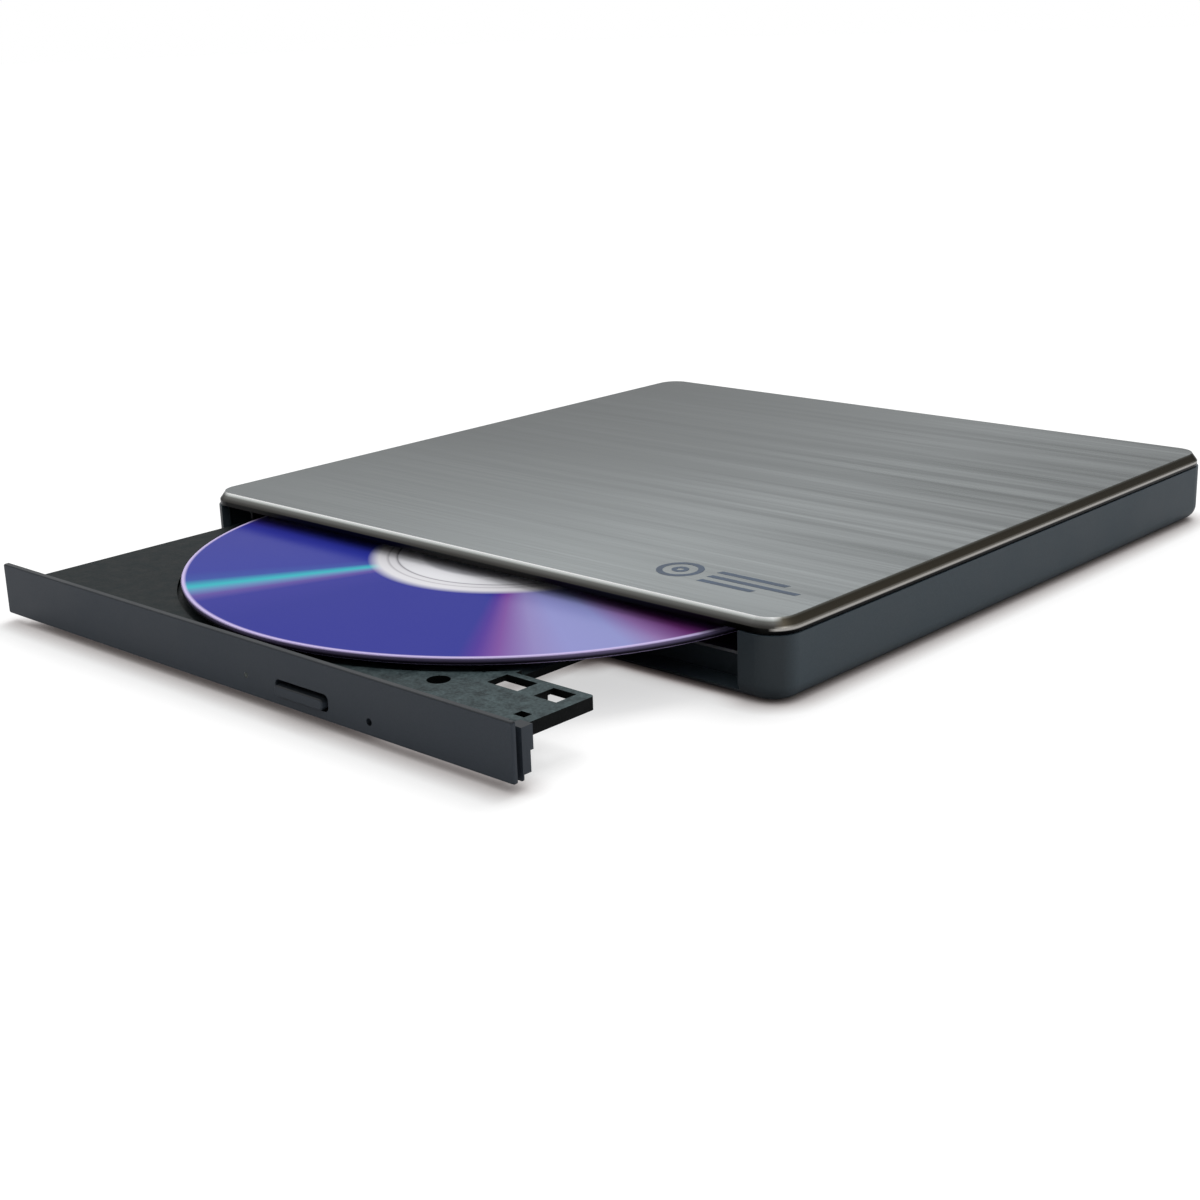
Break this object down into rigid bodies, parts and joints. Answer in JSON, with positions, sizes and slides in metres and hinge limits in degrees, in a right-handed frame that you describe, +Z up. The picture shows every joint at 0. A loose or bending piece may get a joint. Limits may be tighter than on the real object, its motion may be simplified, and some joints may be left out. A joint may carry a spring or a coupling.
{
  "type": "external optical drive",
  "caption": "Slim external disc drive: flat dark case with a brushed metal top, and a sliding tray with a disc on its spindle.",
  "frame": {"origin": "centre of the enclosure's underside", "axes": "+Z up, the tray opens towards -Y, +X to the right seen from the front"},
  "size_m": [0.1438, 0.1931, 0.014],
  "materials": {
    "top_metal": "fine brushed, satin",
    "case_plastic": "fine textured dark moulding",
    "bezel_plastic": "fine textured dark moulding",
    "tray_plastic": "fine textured moulding",
    "frame_plastic": "plain moulding",
    "rubber": "matt",
    "sheet_steel": "zinc plated sheet",
    "screw_steel": "plated",
    "steel_rod": "ground",
    "board": "solder-masked laminate",
    "chip": "moulded",
    "white_plastic": "moulded",
    "label": "blank silver label",
    "flex": "polyimide film",
    "rail_plastic": "self-lubricating moulding",
    "disc": "recordable disc, reflective dye side up",
    "light_pipe": "clear",
    "cast_frame": "die cast",
    "lens": "coated",
    "copper_yellow": "wound coil",
    "spring_steel": "spring wire"
  },
  "bodies": {
    "enclosure": {"lower_case": "case_plastic", "top_cover_frame": "frame_plastic", "top_cover_plate": "top_metal", "rubber_feet": "rubber", "case_screws": "screw_steel", "rating_label": "label", "usb_bridge_board": "board", "bridge_chip": "chip", "bridge_connector": "frame_plastic", "usb_socket_shell": "sheet_steel", "usb_socket_tongue": "chip", "chassis_base": "sheet_steel", "chassis_cover": "sheet_steel", "chassis_screws": "screw_steel", "latch_stud": "steel_rod", "drive_board": "board", "drive_connector": "frame_plastic", "flex_cable": "flex"},
    "left_rail_body": {"left_rail": "rail_plastic"},
    "right_rail_body": {"right_rail": "rail_plastic"},
    "tray_body": {"tray": "tray_plastic", "tray_bottom_cover": "sheet_steel", "front_bezel": "bezel_plastic", "led_light_pipe": "light_pipe", "front_board": "board", "eject_switch": "screw_steel", "status_led": "white_plastic", "main_board": "board", "main_chips": "chip", "traverse_frame": "cast_frame", "guide_rods": "steel_rod", "traverse_dampers": "rubber", "traverse_screws": "screw_steel", "traverse_cover": "sheet_steel", "spindle_motor_base": "cast_frame", "sled_motor": "sheet_steel", "latch_pin": "steel_rod", "latch_solenoid": "copper_yellow", "ejector_spring": "spring_steel"},
    "spindle_body": {"spindle_rotor": "sheet_steel", "hub_pad": "rubber", "disc": "disc"},
    "claw_1_body": {"chuck_claw_1": "white_plastic"},
    "claw_2_body": {"chuck_claw_2": "white_plastic"},
    "claw_3_body": {"chuck_claw_3": "white_plastic"},
    "sled_body": {"pickup_sled": "cast_frame"},
    "lens_body": {"lens_holder": "frame_plastic", "objective_lens": "lens"},
    "lead_screw_body": {"lead_screw": "steel_rod"},
    "button_body": {"eject_button": "bezel_plastic"},
    "latch_body": {"latch_lever": "white_plastic"},
    "plunger_body": {"solenoid_plunger": "steel_rod"},
    "ejector_body": {"ejector_pusher": "white_plastic"}
  },
  "joints": [
    {"name": "tray_slide", "type": "slide", "parent": "enclosure", "child": "tray_body", "axis": [0, -1, 0], "range_m": [-0.049, 0.077]},
    {"name": "left_rail_slide", "type": "slide", "parent": "enclosure", "child": "left_rail_body", "axis": [0, -1, 0], "range_m": [-0.0245, 0.0385]},
    {"name": "right_rail_slide", "type": "slide", "parent": "enclosure", "child": "right_rail_body", "axis": [0, -1, 0], "range_m": [-0.0245, 0.0385]},
    {"name": "spindle_spin", "type": "hinge", "parent": "tray_body", "child": "spindle_body", "pos_m": [0, -0.0564, 0.0085], "axis": [0, 0, 1], "continuous": true},
    {"name": "claw_1_press", "type": "slide", "parent": "spindle_body", "child": "claw_1_body", "axis": [0, -1, 0], "range_m": [0, 0.0006], "stiffness_N_per_m": 200},
    {"name": "claw_2_press", "type": "slide", "parent": "spindle_body", "child": "claw_2_body", "axis": [0.866, 0.5, 0], "range_m": [0, 0.0006], "stiffness_N_per_m": 200},
    {"name": "claw_3_press", "type": "slide", "parent": "spindle_body", "child": "claw_3_body", "axis": [-0.866, 0.5, 0], "range_m": [0, 0.0006], "stiffness_N_per_m": 200},
    {"name": "sled_slide", "type": "slide", "parent": "tray_body", "child": "sled_body", "axis": [-0.7071, 0.7071, 0], "range_m": [0, 0.034]},
    {"name": "lens_focus", "type": "slide", "parent": "sled_body", "child": "lens_body", "axis": [0, 0, 1], "range_m": [-0.0004, 0.0004], "stiffness_N_per_m": 200},
    {"name": "lead_screw_turn", "type": "hinge", "parent": "tray_body", "child": "lead_screw_body", "pos_m": [-0.00672, -0.02069, 0.0042], "axis": [-0.7071, 0.7071, 0], "range_deg": [-1, 4085]},
    {"name": "eject_button_press", "type": "slide", "parent": "tray_body", "child": "button_body", "axis": [0, 1, 0], "range_m": [0, 0.0006], "stiffness_N_per_m": 400},
    {"name": "latch_turn", "type": "hinge", "parent": "tray_body", "child": "latch_body", "pos_m": [0.021, -0.1105, 0.0038], "axis": [0, 0, 1], "range_deg": [-25.1, 0.1], "stiffness_Nm_per_rad": 0.002, "springref_deg": -25},
    {"name": "plunger_pull", "type": "slide", "parent": "tray_body", "child": "plunger_body", "axis": [-1, 0, 0], "range_m": [-0.00153, 0]},
    {"name": "ejector_push", "type": "slide", "parent": "tray_body", "child": "ejector_body", "axis": [0, 1, 0], "range_m": [0, 0.009]}
  ],
  "couplings": [
    {"joint": "left_rail_slide", "follows": "tray_slide", "ratio": 0.5},
    {"joint": "right_rail_slide", "follows": "tray_slide", "ratio": 0.5},
    {"joint": "lead_screw_turn", "follows": "sled_slide", "rad_per_m": 2094.4},
    {"joint": "latch_turn", "follows": "plunger_pull", "rad_per_m": 285.71}
  ]
}
